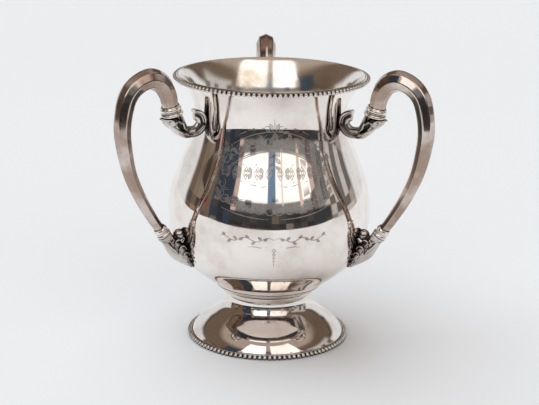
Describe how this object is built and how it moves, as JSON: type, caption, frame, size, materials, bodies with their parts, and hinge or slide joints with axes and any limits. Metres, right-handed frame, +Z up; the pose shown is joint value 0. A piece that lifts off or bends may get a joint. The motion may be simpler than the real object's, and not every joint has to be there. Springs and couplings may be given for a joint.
{
  "type": "cup trophy",
  "caption": "Loving cup trophy with evenly spaced scroll-ended handles, a bellied bowl, a flared beaded rim and a low ogee foot.",
  "frame": {"origin": "on the cup's axis, in the plane that the foot stands on", "axes": "+Z up along the cup's axis, +Y towards the rear handle, +X to the right of a person facing the side opposite the rear handle"},
  "size_m": [0.2276, 0.2072, 0.2162],
  "materials": {
    "bowl": "polished silver plate, worn, warm inside",
    "foot": "polished silver plate",
    "stem_ring": "polished silver plate",
    "bead_wire": "silver plate, dark between the beads",
    "handle_arm": "silver plate with warm brown tarnish",
    "ferrule": "silver plate, dark in the grooves",
    "bracket": "cast, silver plated, dark in the hollows"
  },
  "bodies": {
    "root": {"bowl": "bowl", "rim_beading": "bead_wire", "stem_ring": "stem_ring", "foot": "foot", "foot_beading": "bead_wire", "left_handle_half_a": "handle_arm", "left_handle_half_b": "handle_arm", "left_upper_ferrule": "ferrule", "left_scroll_bracket": "bracket", "left_lower_ferrule": "ferrule", "left_leaf_bracket": "bracket", "right_handle_half_a": "handle_arm", "right_handle_half_b": "handle_arm", "right_upper_ferrule": "ferrule", "right_scroll_bracket": "bracket", "right_lower_ferrule": "ferrule", "right_leaf_bracket": "bracket", "rear_handle_half_a": "handle_arm", "rear_handle_half_b": "handle_arm", "rear_upper_ferrule": "ferrule", "rear_scroll_bracket": "bracket", "rear_lower_ferrule": "ferrule", "rear_leaf_bracket": "bracket"}
  },
  "joints": []
}
